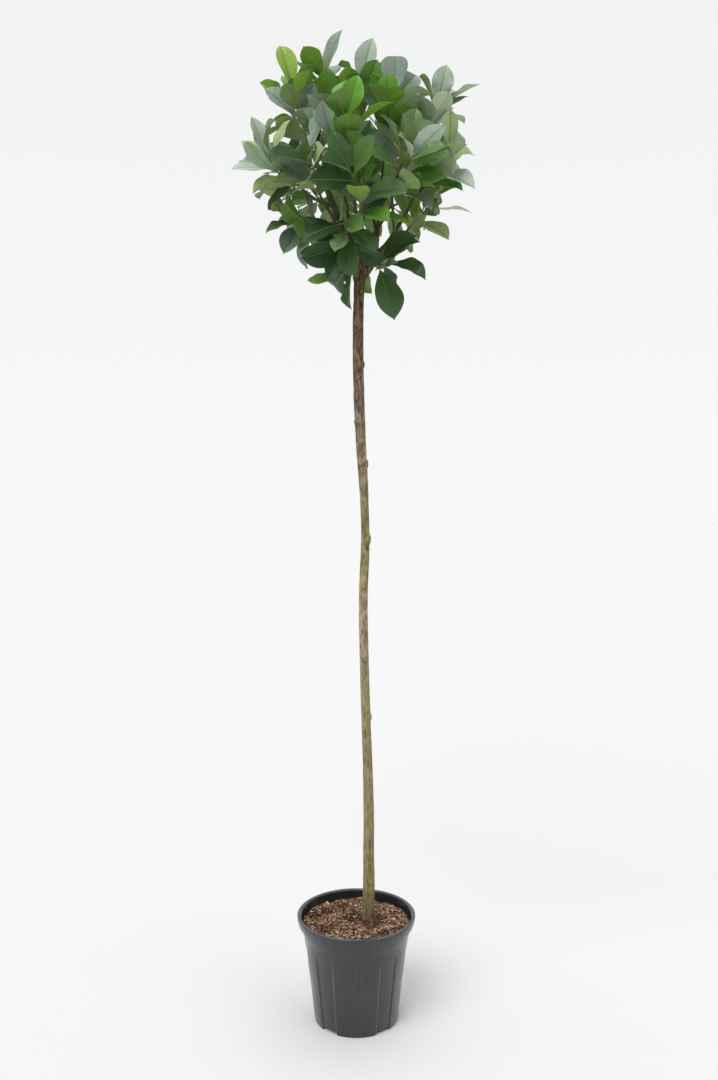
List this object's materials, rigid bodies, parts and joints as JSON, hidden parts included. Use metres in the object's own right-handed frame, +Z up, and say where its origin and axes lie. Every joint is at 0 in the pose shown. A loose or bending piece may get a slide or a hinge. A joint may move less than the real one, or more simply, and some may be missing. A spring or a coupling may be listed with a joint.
{
  "type": "potted cherry laurel",
  "caption": "A cherry laurel grown as a standard: a round leafy head on one tall clear stem, in a round black plastic nursery pot of bark soil.",
  "frame": {"origin": "The centre of the pot's flat underside, on the surface it stands on.", "axes": "Z is up along the stem, X is to the right as seen from the front, and Y goes away from the viewer."},
  "size_m": [0.5837, 0.5127, 2.4394],
  "materials": {
    "pot_plastic": "matt black polypropylene, a little shiny along the flutes",
    "bark_soil": "loose brown bark chips, coir and peat",
    "stem_bark": "grey-brown to olive bark with fine lengthwise cracks and pruned knots",
    "bough_bark": "smooth dark green-brown young bark",
    "leaves": "thick glossy evergreen leaves, dark to fresh green above and paler below"
  },
  "bodies": {
    "root": {"pot": "pot_plastic", "soil": "bark_soil", "stem": "stem_bark", "bough_left": "bough_bark", "bough_left_outer": "bough_bark", "bough_left_low": "bough_bark", "bough_left_front": "bough_bark", "bough_top_left": "bough_bark", "bough_top_right": "bough_bark", "bough_top_centre": "bough_bark", "bough_right_top": "bough_bark", "bough_right": "bough_bark", "bough_right_low": "bough_bark", "bough_right_front": "bough_bark", "bough_front_top": "bough_bark", "bough_front": "bough_bark", "bough_front_low": "bough_bark", "bough_back": "bough_bark", "bough_back_left": "bough_bark", "bough_back_right": "bough_bark", "bough_back_top": "bough_bark", "bough_back_low": "bough_bark", "foliage_left_top": "leaves", "foliage_left": "leaves", "foliage_left_low": "leaves", "foliage_left_front": "leaves", "foliage_top_left": "leaves", "foliage_top": "leaves", "foliage_top_front": "leaves", "foliage_right_top": "leaves", "foliage_right": "leaves", "foliage_right_low": "leaves", "foliage_right_front": "leaves", "foliage_front_top": "leaves", "foliage_front": "leaves", "foliage_front_low": "leaves", "foliage_back_left": "leaves", "foliage_back": "leaves", "foliage_back_right": "leaves", "foliage_back_top": "leaves", "foliage_back_low": "leaves", "foliage_fork_right": "leaves", "foliage_fork_left": "leaves"}
  },
  "joints": []
}
